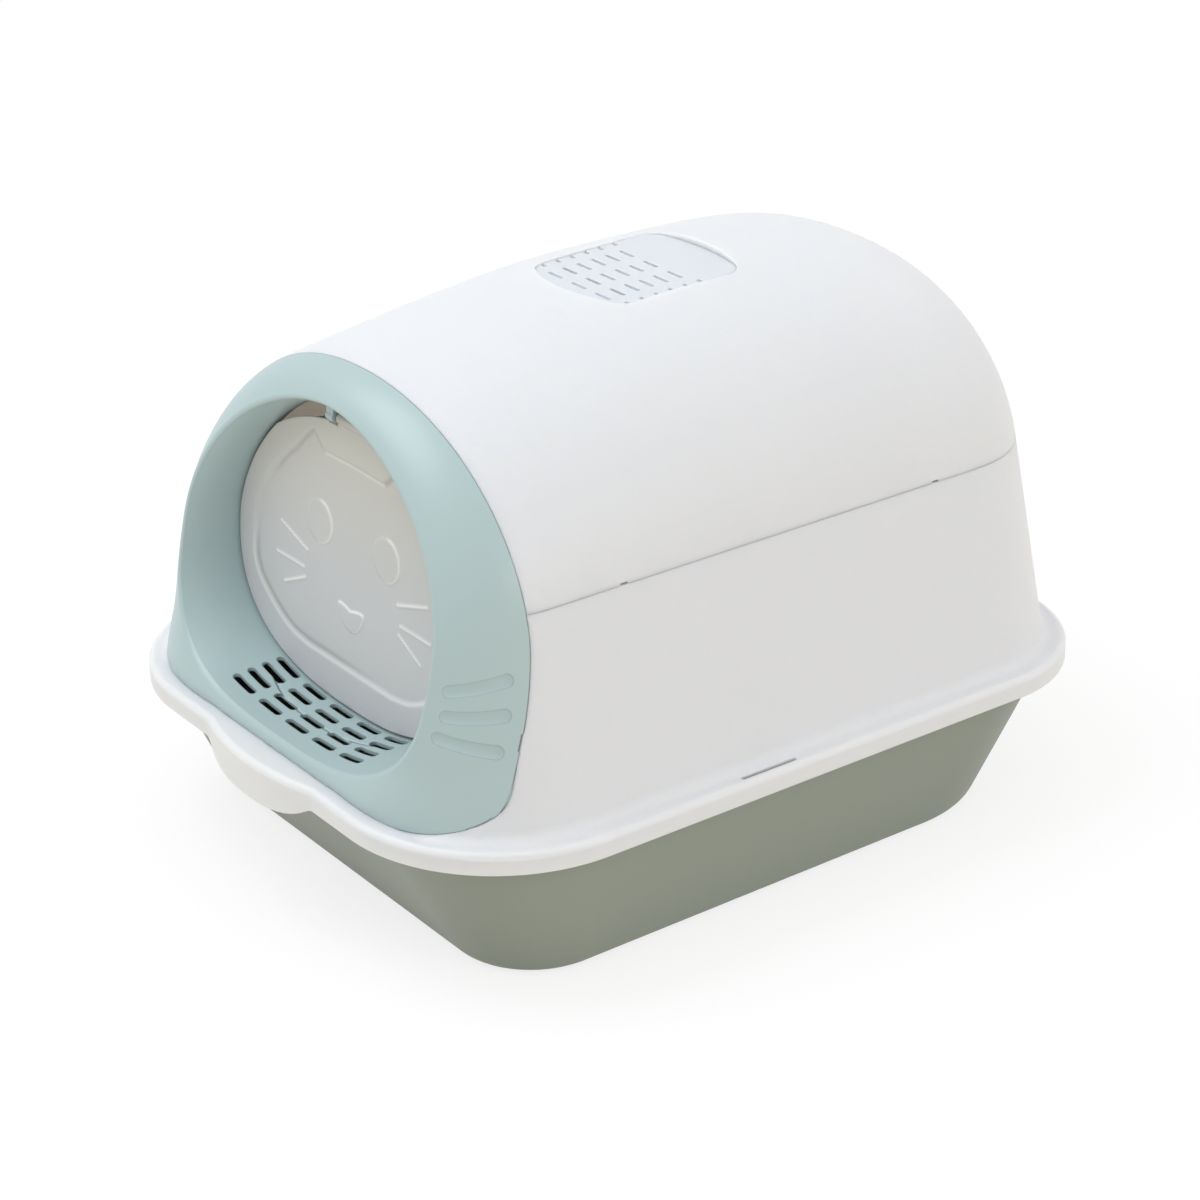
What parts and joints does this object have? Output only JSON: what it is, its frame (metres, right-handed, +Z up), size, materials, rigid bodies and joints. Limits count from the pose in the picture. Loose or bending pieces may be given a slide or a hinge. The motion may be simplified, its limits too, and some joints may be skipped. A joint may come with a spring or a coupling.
{
  "type": "covered litter box",
  "caption": "Covered litter box: open tub, lift-off cover with a domed hood, framed entry with a slotted step, and a swinging translucent flap.",
  "frame": {"origin": "centre of the tub's flat underside, on the plane it stands on", "axes": "+X to the right seen from the entry, +Y from the entry to the rear, +Z up"},
  "size_m": [0.406, 0.5085, 0.3383],
  "materials": {
    "shell_plastic": "satin",
    "frame_plastic": "satin",
    "tub_plastic": "satin",
    "flap_plastic": "frosted",
    "vent_plastic": "satin",
    "filter_felt": "matte"
  },
  "bodies": {
    "tub": {"litter_pan": "tub_plastic"},
    "cover": {"lower_cover": "shell_plastic", "entry_frame": "frame_plastic"},
    "hood_shell": {"hood": "shell_plastic"},
    "vent": {"vent_cover": "vent_plastic", "filter_pad": "filter_felt"},
    "flap": {"flap_door": "flap_plastic"}
  },
  "joints": [
    {"name": "cover_lift", "type": "slide", "parent": "tub", "child": "cover", "axis": [0, 0, 1], "range_m": [0, 0.12]},
    {"name": "hood_lift", "type": "slide", "parent": "cover", "child": "hood_shell", "axis": [0, 0, 1], "range_m": [0, 0.08]},
    {"name": "vent_lift", "type": "slide", "parent": "hood_shell", "child": "vent", "axis": [0, -0.0314, 0.9995], "range_m": [0, 0.03]},
    {"name": "flap_swing", "type": "hinge", "parent": "cover", "child": "flap", "pos_m": [0, -0.17219, 0.28261], "axis": [1, 0, 0], "range_deg": [-30, 80]}
  ]
}
